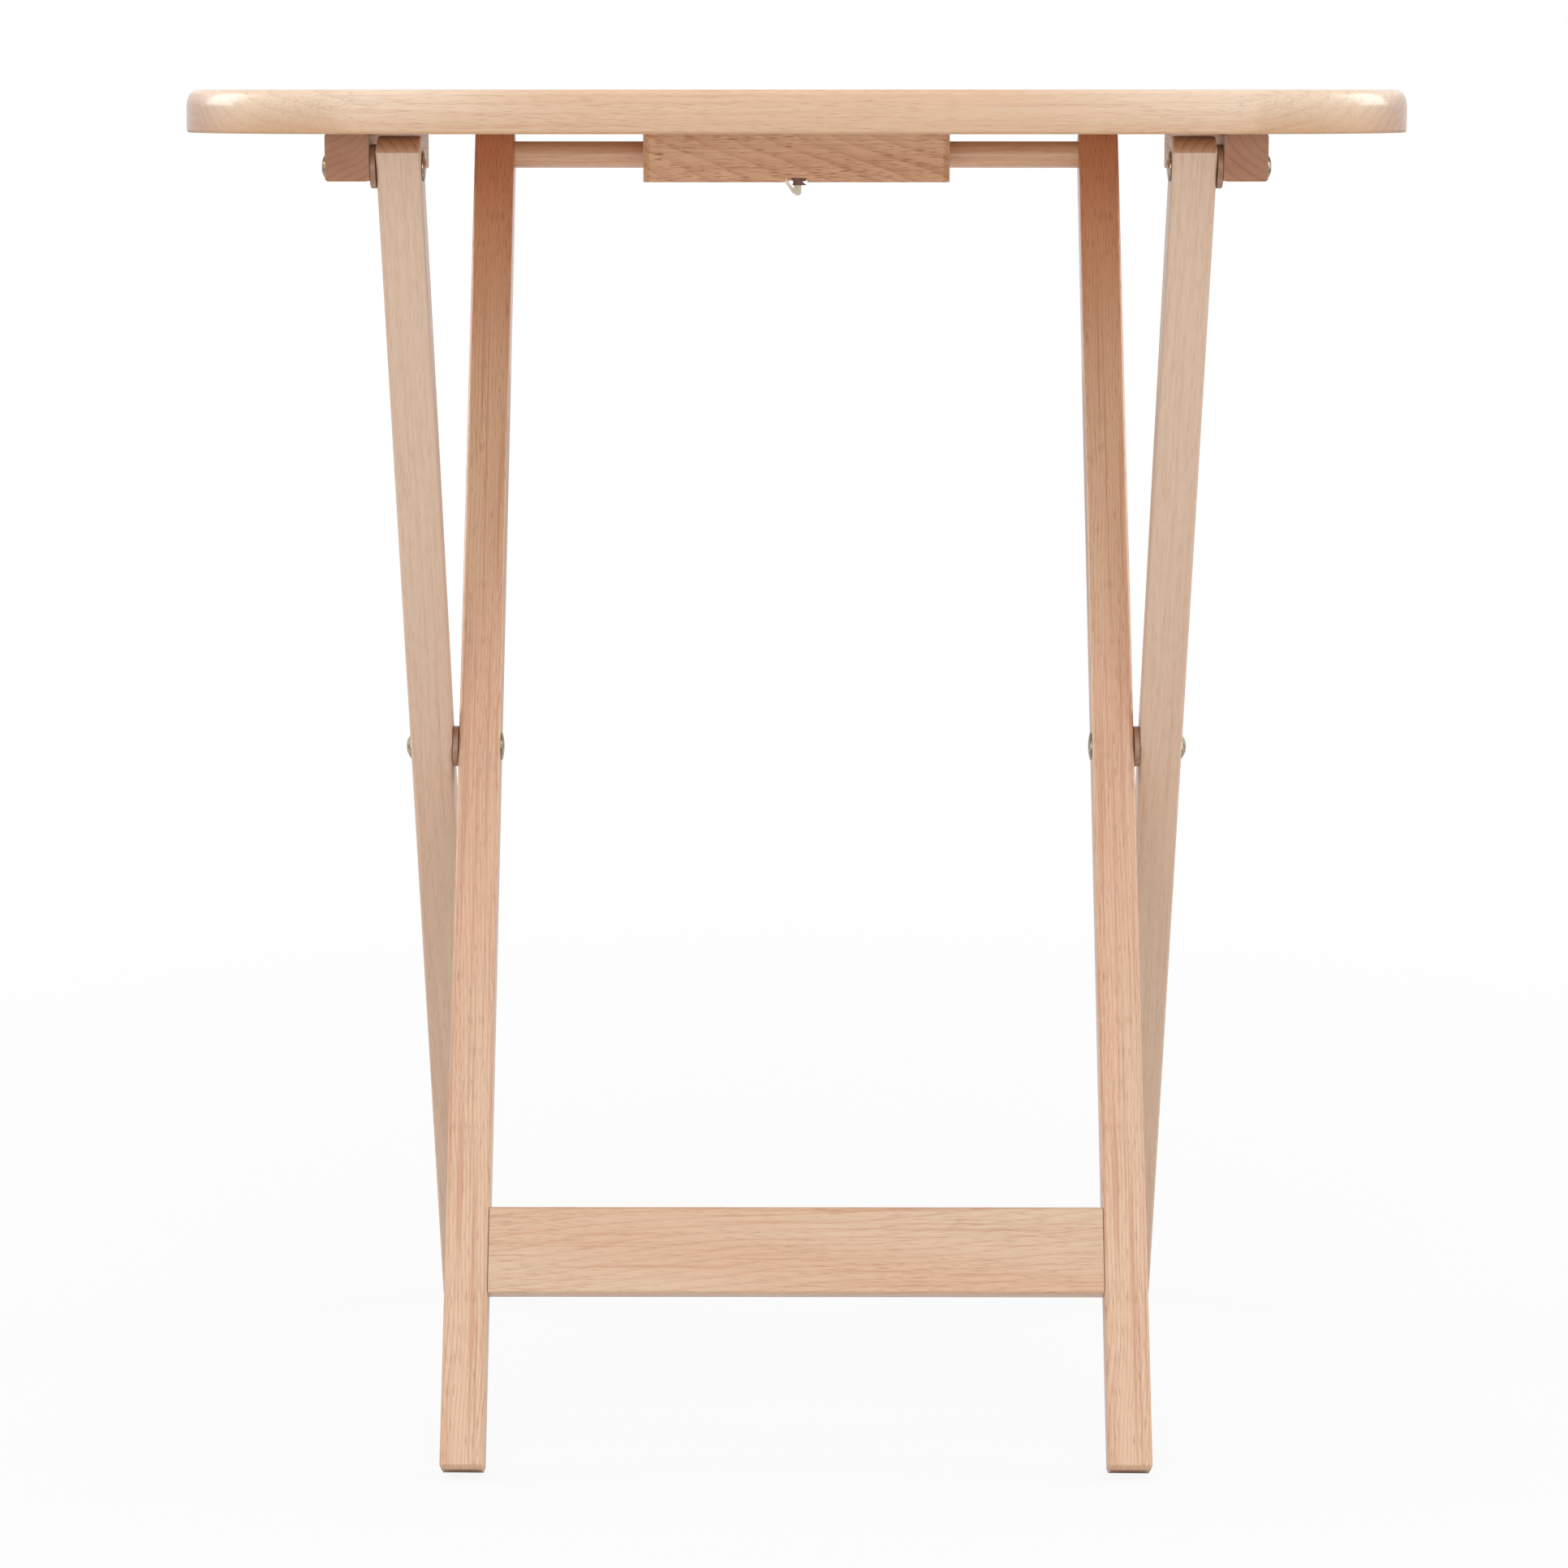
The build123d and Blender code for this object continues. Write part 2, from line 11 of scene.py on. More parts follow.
import bpy
import numpy as np
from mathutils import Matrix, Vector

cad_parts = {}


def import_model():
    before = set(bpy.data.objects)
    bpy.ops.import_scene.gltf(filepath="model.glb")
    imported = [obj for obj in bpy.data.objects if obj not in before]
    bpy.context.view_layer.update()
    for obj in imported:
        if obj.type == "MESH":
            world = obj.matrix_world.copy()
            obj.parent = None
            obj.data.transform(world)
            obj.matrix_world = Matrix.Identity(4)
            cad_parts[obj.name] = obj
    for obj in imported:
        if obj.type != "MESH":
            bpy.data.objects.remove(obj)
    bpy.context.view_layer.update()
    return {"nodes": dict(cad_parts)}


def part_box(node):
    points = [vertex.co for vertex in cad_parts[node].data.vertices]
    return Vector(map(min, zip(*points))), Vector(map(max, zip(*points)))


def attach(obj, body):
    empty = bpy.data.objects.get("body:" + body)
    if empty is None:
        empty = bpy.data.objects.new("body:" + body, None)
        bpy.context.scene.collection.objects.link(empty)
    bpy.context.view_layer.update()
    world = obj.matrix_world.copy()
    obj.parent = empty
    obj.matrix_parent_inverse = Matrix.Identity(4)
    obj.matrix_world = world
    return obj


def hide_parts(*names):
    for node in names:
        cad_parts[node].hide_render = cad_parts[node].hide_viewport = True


LOG = logging.getLogger("tray_table")
MM = 0.001
LEAN = math.radians(25.4)
PIVOT_SPAN = 326.2 * MM
DOWEL_SPAN = 327.4 * MM
FLAT_LEAD = 0.4 * MM  # how far from a round edge a flat face has its next row
BEYOND = (8.0, 9.0)  # a range that lies outside every piece, in metres


class Grain(Enum):
    """Direction of a piece's fibres, as the turn that brings them upright."""

    ALONG_WIDTH = (0.0, -math.pi / 2, 0.0)
    ALONG_DEPTH = (math.pi / 2, 0.0, 0.0)
    OUTER_LEG = (-LEAN, 0.0, 0.0)
    INNER_LEG = (LEAN, 0.0, 0.0)

    def direction(self) -> tuple[float, float, float]:
        """The unit vector along the fibres, in the table's frame."""
        return {
            "ALONG_WIDTH": (1.0, 0.0, 0.0),
            "ALONG_DEPTH": (0.0, 1.0, 0.0),
            "OUTER_LEG": (0.0, -math.sin(LEAN), math.cos(LEAN)),
            "INNER_LEG": (0.0, math.sin(LEAN), math.cos(LEAN)),
        }[self.name]


class Figure(Enum):
    """Noises in the wood: cells per metre, squeeze along the grain, detail, roughness."""

    SLOW = (20, 0.22, 2.0, 0.5)
    SWAY = (75, 0.1, 1.0, 0.5)
    CLOUD = (42, 0.09, 2.0, 0.5)
    FIBRE = (1150, 0.022, 3.0, 0.62)
    STREAK = (720, 0.012, 1.0, 0.5)
    CROWD = (110, 0.1, 1.0, 0.5)
    CELL = (3300, 0.04, 0.0, 0.5)


# ---------------------------------------------------------------- shader maths


class Term:
    """A number that varies over the surface: a socket with Python's operators."""

    def __init__(self, sheet: "Sheet", socket: bpy.types.NodeSocket) -> None:
        """Keeps the socket and the sheet of nodes it belongs to."""
        self.sheet = sheet
        self.socket = socket

    def _math(self, operation: str, *values: object) -> "Term":
        """Adds one Math node for an operation on the given values."""
        return self.sheet.term("ShaderNodeMath", {"operation": operation}, dict(enumerate(values)))

    def __add__(self, other: object) -> "Term":
        """self + other."""
        return self._math("ADD", self, other)

    __radd__ = __add__

    def __sub__(self, other: object) -> "Term":
        """self - other."""
        return self._math("SUBTRACT", self, other)

    def __rsub__(self, other: object) -> "Term":
        """other - self."""
        return self._math("SUBTRACT", other, self)

    def __mul__(self, other: object) -> "Term":
        """self * other."""
        return self._math("MULTIPLY", self, other)

    def __truediv__(self, other: object) -> "Term":
        """self / other."""
        return self._math("DIVIDE", self, other)

    def __pow__(self, other: object) -> "Term":
        """self ** other."""
        return self._math("POWER", self, other)

    def floor(self) -> "Term":
        """The whole part."""
        return self._math("FLOOR", self)

    def fract(self) -> "Term":
        """The part after the point."""
        return self._math("FRACT", self)

    def step(self, low: float, high: float) -> "Term":
        """0 below low, 1 above high and a smooth rise between them."""
        return self.sheet.term(
            "ShaderNodeMapRange",
            {"interpolation_type": "SMOOTHSTEP"},
            {"Value": self, "From Min": low, "From Max": high},
        )


class Sheet:
    """One material's nodes, added one by one around a Principled shader."""

    def __init__(self, name: str) -> None:
        """Makes the material and keeps its shader.

        Args:
            name: The material's name.
        """
        self.material = bpy.data.materials.new(name)
        self.material.use_nodes = True
        self.tree = self.material.node_tree
        self.shader = self.tree.nodes["Principled BSDF"]
        self.place = self.node("ShaderNodeTexCoord").outputs["Object"]

    def node(self, kind: str, settings: dict | None = None, inputs: dict | None = None) -> bpy.types.Node:
        """Adds a node.

        Args:
            kind: The node's type.
            settings: Attributes to set first, such as an operation.
            inputs: Values or links by input name or number.

        Returns:
            The new node.
        """
        made = self.tree.nodes.new(kind)
        for key, value in (settings or {}).items():
            setattr(made, key, value)
        for key, value in (inputs or {}).items():
            self.feed(made.inputs[key], value)
        return made

    def feed(self, socket: bpy.types.NodeSocket, value: object) -> None:
        """Links a socket to a term or another socket, or sets its plain value."""
        if isinstance(value, Term):
            value = value.socket
        if isinstance(value, bpy.types.NodeSocket):
            self.tree.links.new(value, socket)
        else:
            socket.default_value = value

    def term(self, kind: str, settings: dict, inputs: dict, output: int | str = 0) -> Term:
        """Adds a node and wraps one of its outputs as a number."""
        return Term(self, self.node(kind, settings, inputs).outputs[output])

    def stretch(self, vector: bpy.types.NodeSocket, factors: Sequence[float]) -> bpy.types.NodeSocket:
        """The vector with each part multiplied by its factor."""
        scaled = self.node("ShaderNodeVectorMath", {"operation": "MULTIPLY"}, {0: vector, 1: factors})
        return scaled.outputs[0]

    def noise(
        self, vector: bpy.types.NodeSocket, scale: float, detail: float = 2.0, rough: float = 0.5
    ) -> Term:
        """Smooth noise from about 0 to 1."""
        inputs = {"Vector": vector, "Scale": scale, "Detail": detail, "Roughness": rough}
        return self.term("ShaderNodeTexNoise", {}, inputs)

    def figure(self, wood: bpy.types.NodeSocket, kind: Figure) -> Term:
        """One of the wood's noises, at a place given with the fibres upright."""
        scale, squeeze, detail, rough = kind.value
        return self.noise(self.stretch(wood, (1, 1, squeeze)), scale, detail, rough)

    def mix(self, share: Term | float, first: object, second: object) -> bpy.types.NodeSocket:
        """The first colour going over to the second by share."""
        made = self.node("ShaderNodeMix", {"data_type": "RGBA"})
        self.feed(made.inputs[0], share)
        self.feed(made.inputs[6], first)
        self.feed(made.inputs[7], second)
        return made.outputs[2]

    def bump(self, height: Term, depth: float, strength: float = 1.0) -> None:
        """Feeds a height to the shader's normal, depth metres from 0 to 1."""
        made = self.node("ShaderNodeBump", {}, {"Height": height, "Distance": depth, "Strength": strength})
        self.feed(self.shader.inputs["Normal"], made.outputs[0])

    def surface(self, **values: object) -> bpy.types.Material:
        """Feeds the shader's inputs, named with underscores for blanks."""
        for key, value in values.items():
            self.feed(self.shader.inputs[key.replace("_", " ")], value)
        return self.material


def rgb(red: int, green: int, blue: int) -> tuple[float, float, float, float]:
    """A linear colour from display values of 0 to 255."""
    part = np.array([red, green, blue]) / 255
    low, high = part / 12.92, ((part + 0.055) / 1.055) ** 2.4
    return (*(float(v) for v in np.where(part <= 0.04045, low, high)), 1.0)


# -------------------------------------------------------------------- finishes


@dataclass(frozen=True)
class Cut:
    """How a piece was sawn from its tree.

    Attributes:
        grain: The direction of the fibres.
        centre: The middle of the piece, in metres.
        pith: Where the pith line lies across the grain, from the middle.
        slope: How far the pith line leans from the piece's own length.
        stave: Width of each glued stave, or 0 for one solid piece.
        heart_and_shade: Places along the grain where the redder colour
        starts and where it is full: partly heartwood, partly painted
        shade under the board at the inner legs' tops.
        painted_end_sheen: Distances along the grain, to both sides of
        the middle, where the painted sheen, a paler colour standing in
        for light reflected at the board's ends, starts and where it is full.
        layer: Places across the grain where the painted
        shade, browner towards the underside of the board's edge, starts
        and where it is full.
    """

    grain: Grain
    centre: tuple
    pith: tuple[float, float]
    slope: float = 0.0
    stave: float = 0.0
    heart_and_shade: tuple[float, float] = BEYOND
    painted_end_sheen: tuple[float, float] = BEYOND
    layer: tuple[float, float] = BEYOND


@dataclass(frozen=True)
class WoodFinish:
    """Pale close-grained hardwood under a satin lacquer.

    The growth rings are a saw wave of the distance from a pith line that
    lies outside the piece, bent by slow noise. Short dark pores and fine
    fibres run along the grain.
    """

    pale: tuple = rgb(211, 176, 143)
    rosy: tuple = rgb(205, 160, 128)
    ring: tuple = rgb(186, 120, 82)
    fibre: tuple = rgb(190, 140, 106)
    pore: tuple = rgb(142, 80, 46)
    # heartwood colour, also the painted shade at the inner legs' tops
    heart_and_shade: tuple = rgb(204, 120, 72)
    # colour of the painted sheen at the board's ends
    painted_sheen: tuple = rgb(227, 202, 175)
    # colour of the painted shade low on the board's edge
    under: tuple = rgb(198, 157, 118)
    end: tuple = rgb(158, 112, 82)
    end_ring: tuple = rgb(126, 78, 52)
    ring_gap: float = 0.0045
    ring_edge: float = 4.0
    ring_share: float = 0.36
    fibre_share: float = 0.3
    streak_share: float = 0.3
    pore_share: float = 0.4
    coat: float = 0.5
    seed: float = 3.7

    def dress(self, name: str, cut: Cut) -> bpy.types.Material:
        """Makes the wood for one piece.

        Args:
            name: The material's name.
            cut: Where the piece lay in the tree.

        Returns:
            The material.
        """
        sheet = Sheet(name)
        minus = {"operation": "SUBTRACT"}
        shifted = sheet.node("ShaderNodeVectorMath", minus, {0: sheet.place, 1: tuple(cut.centre)})
        upright = {"Vector": shifted.outputs[0], "Rotation": cut.grain.value}
        wood = sheet.node("ShaderNodeMapping", {}, upright).outputs[0]
        apart = sheet.node("ShaderNodeSeparateXYZ", {}, {"Vector": wood})
        across, over, along = (Term(sheet, apart.outputs[k]) for k in range(3))
        tone_shift: Term | float = 0.0
        heart_and_shade = along.step(*cut.heart_and_shade)
        painted_end_sheen = ((along * along) ** 0.5).step(*cut.painted_end_sheen)
        layer = across.step(*cut.layer)
        if cut.stave:
            index = (over / cut.stave + 0.5).floor()
            one_way = {"noise_dimensions": "1D"}
            chance = sheet.term("ShaderNodeTexWhiteNoise", one_way, {"W": index + self.seed})
            over = over - index * cut.stave + (chance - 0.5) * 0.05
            along = along + chance * 1.9
            tone_shift = (chance - 0.5) * 0.5
            joined = sheet.node("ShaderNodeCombineXYZ", {}, {0: across, 1: over + chance, 2: along})
            wood = joined.outputs[0]
        slow, sway, cloud, fibre, streak, crowd, cell = (sheet.figure(wood, kind) for kind in Figure)
        side = across + cut.pith[0] + along * cut.slope + (slow - 0.5) * 0.02
        depth = over + cut.pith[1] + along * (cut.slope * 0.6) + (sway - 0.5) * 0.004
        reach = (side * side + depth * depth) ** 0.5
        ring = ((reach / self.ring_gap).fract() ** self.ring_edge) * (0.35 + sway)
        tone = (cloud + tone_shift).step(0.3, 0.72)
        pore = (cell + crowd * 0.26).step(0.72, 0.9)
        colour = sheet.mix(tone, self.pale, self.rosy)
        # painted sheen: paler towards the board's ends, in place of reflected light
        colour = sheet.mix(painted_end_sheen, colour, self.painted_sheen)
        # painted shade: browner towards the underside of the board's edge
        colour = sheet.mix(layer, colour, self.under)
        colour = sheet.mix(ring * self.ring_share, colour, self.ring)
        colour = sheet.mix(fibre.step(0.5, 0.75) * self.fibre_share, colour, self.fibre)
        colour = sheet.mix(streak.step(0.54, 0.72) * self.streak_share, colour, self.ring)
        # redder towards the inner legs' tops: partly heartwood, partly painted shade under the board
        colour = sheet.mix(heart_and_shade * (1.1 - streak * 0.4), colour, self.heart_and_shade)
        colour = sheet.mix(pore * (heart_and_shade * 0.3 + self.pore_share), colour, self.pore)
        facing = sheet.node("ShaderNodeTexCoord").outputs["Normal"]
        dot = {"operation": "DOT_PRODUCT"}
        square = sheet.term("ShaderNodeVectorMath", dot, {0: facing, 1: cut.grain.direction()}, "Value")
        sawn = (square * square).step(0.35, 0.9)
        colour = sheet.mix(sawn * 0.75, colour, sheet.mix(ring, self.end, self.end_ring))
        sheet.bump(1.0 - pore * 0.8 - fibre * 0.25, 0.00012, 0.5)
        return sheet.surface(
            Base_Color=colour,
            Roughness=0.33 + fibre * 0.14 + pore * 0.2,
            Coat_Weight=self.coat,
            Coat_Roughness=0.16,
        )


@dataclass(frozen=True)
class MetalFinish:
    """Turned and plated or darkened steel with fine tool marks."""

    base: tuple
    dark: tuple
    rough: float
    metallic: float = 1.0

    def dress(self, name: str) -> bpy.types.Material:
        """Makes the metal: cloudy tone and fine scratches in roughness."""
        sheet = Sheet(name)
        cloud = sheet.noise(sheet.place, 420, 3.0, 0.6)
        marks = sheet.noise(sheet.stretch(sheet.place, (0.12, 1, 1)), 5200, 2.0)
        sheet.bump(marks, 0.00002, 0.35)
        return sheet.surface(
            Base_Color=sheet.mix(cloud.step(0.35, 0.75), self.base, self.dark),
            Metallic=self.metallic,
            Roughness=self.rough + (cloud - 0.5) * 0.12 + marks * 0.06,
        )


@dataclass(frozen=True)
class PlasticFinish:
    """Moulded nylon: faint mottling and a fine orange-peel surface."""

    base: tuple
    deep: tuple
    rough: float
    glow: float = 0.0

    def dress(self, name: str) -> bpy.types.Material:
        """Makes the plastic."""
        sheet = Sheet(name)
        mottle = sheet.noise(sheet.place, 260, 2.0)
        peel = sheet.noise(sheet.place, 2600, 1.0)
        sheet.bump(peel, 0.00003, 0.3)
        return sheet.surface(
            Base_Color=sheet.mix(mottle.step(0.35, 0.7), self.base, self.deep),
            Roughness=self.rough + (peel - 0.5) * 0.1,
            Subsurface_Weight=self.glow,
            Subsurface_Scale=0.002,
        )


BOARD_WOOD = WoodFinish(
    pale=rgb(216, 185, 155),
    rosy=rgb(212, 173, 140),
    ring_share=0.22,
    streak_share=0.16,
    pore_share=0.26,
)
OUTER_WOOD = WoodFinish(
    pale=rgb(215, 186, 161),
    rosy=rgb(213, 181, 156),
    end=rgb(188, 130, 90),
    ring_share=0.14,
    streak_share=0.14,
    pore_share=0.16,
)
INNER_WOOD = WoodFinish(
    pale=rgb(219, 184, 152),
    rosy=rgb(213, 169, 137),
    ring_gap=0.0016,
    ring_edge=7.0,
    ring_share=0.85,
    streak_share=0.5,
)
RAIL_WOOD = WoodFinish(
    pale=rgb(213, 182, 150),
    rosy=rgb(210, 169, 136),
    ring_gap=0.0034,
    ring_edge=6.0,
    ring_share=0.5,
    streak_share=0.42,
    pore_share=0.3,
)
BLOCK_WOOD = WoodFinish(
    pale=rgb(230, 186, 144),
    rosy=rgb(218, 166, 125),
    end=rgb(236, 200, 170),
    end_ring=rgb(214, 170, 136),
    ring_gap=0.0085,
    ring_edge=2.5,
    ring_share=0.6,
    pore_share=0.8,
    coat=0.1,
)
CLEAT_WOOD = WoodFinish(
    end=rgb(150, 90, 54),
    end_ring=rgb(112, 62, 36),
    ring_gap=0.0038,
    ring_edge=5.0,
    coat=0.0,
)
DOWEL_WOOD = WoodFinish(pale=rgb(226, 186, 150), rosy=rgb(221, 173, 138), pore_share=0.3)
NICKEL = MetalFinish(rgb(196, 180, 152), rgb(104, 88, 70), 0.17)
WORN_STEEL = MetalFinish(rgb(196, 182, 176), rgb(156, 138, 130), 0.42)
BRONZED = MetalFinish(rgb(96, 64, 54), rgb(62, 40, 34), 0.34, 0.6)
NATURAL_NYLON = PlasticFinish(rgb(222, 222, 196), rgb(204, 202, 166), 0.36, 0.25)
SPACER_NYLON = PlasticFinish(rgb(168, 130, 106), rgb(150, 112, 90), 0.42)


# ---------------------------------------------------------------------- meshes


def rounded_rectangle(
    half_x: np.ndarray, half_y: np.ndarray, radius: np.ndarray, steps: int = 6, lead: float = 0.25 * MM
) -> np.ndarray:
    """Outlines of rectangles with round corners, one for each row.

    A corner is a quarter circle about a centre one radius in from both
    sides. A point on each flat, a short lead from the corner, keeps the
    shading of the flat even.

    Args:
        half_x: Half widths, one for each row.
        half_y: Half depths, one for each row.
        radius: Corner radii, one for each row.
        steps: Segments in a corner.
        lead: Distance of the extra points from the corner.

    Returns:
        An array of rows by points by 2, anticlockwise.
    """
    turn = np.arange(4)[:, None] * (math.pi / 2) + np.linspace(0, math.pi / 2, steps + 1)
    signs = np.array([[1, 1], [-1, 1], [-1, -1], [1, -1]], float)
    core = np.stack([half_x - radius, half_y - radius], -1)[:, None, None, :] * signs[None, :, None, :]
    arc = np.stack([np.cos(turn), np.sin(turn)], -1)[None] * radius[:, None, None, None]
    points = core + arc
    tangent = np.stack([-np.sin(turn), np.cos(turn)], -1)
    before = points[:, :, :1] - lead * tangent[None, :, :1]
    after = points[:, :, -1:] + lead * tangent[None, :, -1:]
    return np.concatenate([before, points, after], 2).reshape(len(half_x), -1, 2)


def skin(name: str, rings: np.ndarray, material: bpy.types.Material) -> bpy.types.Object:
    """Joins closed rings with quads and closes both ends with flat caps.

    Args:
        name: The object's name.
        rings: Rows by points by 3, in metres.
        material: The finish.

    Returns:
        The object, at the origin, with its faces outwards.
    """
    rows, count, _ = rings.shape
    index = np.arange(rows * count).reshape(rows, count)
    beside = np.roll(index, -1, 1)
    quads = np.stack([index[:-1], beside[:-1], beside[1:], index[1:]], -1).reshape(-1, 4)
    points = rings.reshape(-1, 3)
    corner = points[quads] - points.mean(0)
    volume = np.einsum("ij,ij->i", corner[:, 0], np.cross(corner[:, 1], corner[:, 2])).sum()
    volume += np.einsum("ij,ij->i", corner[:, 0], np.cross(corner[:, 2], corner[:, 3])).sum()
    caps = [index[0][::-1], index[-1]]
    if volume < 0:
        quads, caps = quads[:, ::-1], [cap[::-1] for cap in caps]
    mesh = bpy.data.meshes.new(name)
    mesh.from_pydata(points.tolist(), [], quads.tolist() + [cap.tolist() for cap in caps])
    smooth = np.ones(len(mesh.polygons), bool)
    smooth[-2:] = False
    mesh.polygons.foreach_set("use_smooth", smooth)
    mesh.materials.append(material)
    mesh.update()
    piece = bpy.data.objects.new(name, mesh)
    bpy.context.scene.collection.objects.link(piece)
    return piece


def settle(piece: bpy.types.Object, body: str, slot: str, *nodes: str) -> None:
    """Rides a finished piece on its body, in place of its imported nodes."""
    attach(piece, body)
    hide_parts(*nodes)
    LOG.info("%s rides on %s, %d points", piece.name, body, len(piece.data.vertices))


def middle(node: str) -> np.ndarray:
    """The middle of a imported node's box, in metres."""
    low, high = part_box(node)
    return (np.array(low) + np.array(high)) / 2


def eased_bar(
    half: tuple[float, float], length: float, radius: float, ease: float
) -> tuple[np.ndarray, np.ndarray]:
    """Sections of a straight bar whose ends are eased by a quarter round.

    Along the end, the section draws in by ease * (1 - cos t) while the
    length grows by ease * sin t, for t from 0 to a quarter turn.

    Args:
        half: Half width and half depth.
        length: Whole length.
        radius: Rounding of the long edges.
        ease: Rounding of the ends.

    Returns:
        The outlines, rows by points by 2, and the rows' places along.
    """
    t = np.linspace(0, math.pi / 2, 5)
    inset = ease * (1 - np.cos(t))
    place = length / 2 - ease + ease * np.sin(t)
    along = np.concatenate([-place[::-1], [-place[0] + FLAT_LEAD, place[0] - FLAT_LEAD], place])
    drawn = np.concatenate([inset[::-1], [0.0, 0.0], inset])
    rounding = np.maximum(radius - drawn * 0.5, 0.3 * MM)
    return rounded_rectangle(half[0] - drawn, half[1] - drawn, rounding), along


# -------------------------------------------------------------- sub-assemblies


@dataclass
class Board:
    """The tabletop: a rounded rectangle with a soft upper edge."""

    corner: float = 95 * MM
    upper_in: float = 5.0 * MM
    upper_down: float = 8.3 * MM
    lower: float = 1.2 * MM
    thick: float = 20 * MM
    stave: float = 0.1
    # where the painted sheen at the board's ends starts and is full
    painted_end_sheen: tuple = (0.09, 0.2)
    # where the painted shade low on the board's edge starts and is full
    painted_shade_band: tuple = (-0.008, 0.012)

    def profile(self) -> tuple[np.ndarray, np.ndarray]:
        """The edge from the underside to the top, as inset and height.

        The lower edge is a quarter circle and the upper edge a quarter
        ellipse, lower * (1 - cos t) and upper_in * (1 - cos t) inwards.
        """
        t = np.linspace(0, math.pi / 2, 7)
        low_in, low_up = self.lower * (1 - np.sin(t)), self.lower * (1 - np.cos(t))
        u = np.linspace(0, math.pi / 2, 15)
        high_in = self.upper_in * (1 - np.cos(u))
        high_up = self.thick - self.upper_down * (1 - np.sin(u))
        under = self.lower + np.array([6 * MM, FLAT_LEAD])
        over = self.upper_in + np.array([FLAT_LEAD, 8 * MM])
        front = [self.lower + FLAT_LEAD, high_up[0] - FLAT_LEAD]
        inset = np.concatenate([under, low_in, [0, 0], high_in, over])
        rise = np.concatenate([[0, 0], low_up, front, high_up, [self.thick, self.thick]])
        return inset, rise

    def build(self) -> None:
        """Carries the edge profile round the plan and closes both faces."""
        low, high = (np.array(p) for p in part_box("tabletop"))
        half, centre = (high - low) / 2, (high + low) / 2
        inset, rise = self.profile()
        plan = rounded_rectangle(half[0] - inset, half[1] - inset, self.corner - inset, 28, 2 * MM)
        height = np.broadcast_to((low[2] + rise)[:, None, None], (*plan.shape[:2], 1))
        rings = np.concatenate([plan + centre[:2], height], -1)
        cut = Cut(
            Grain.ALONG_WIDTH,
            centre,
            pith=(0.07, 0.03),
            slope=0.012,
            stave=self.stave,
            painted_end_sheen=self.painted_end_sheen,
            layer=self.painted_shade_band,
        )
        wood = BOARD_WOOD.dress("wood_tabletop", cut)
        settle(skin("table_board", rings, wood), "top", "lacquered_wood", "tabletop")


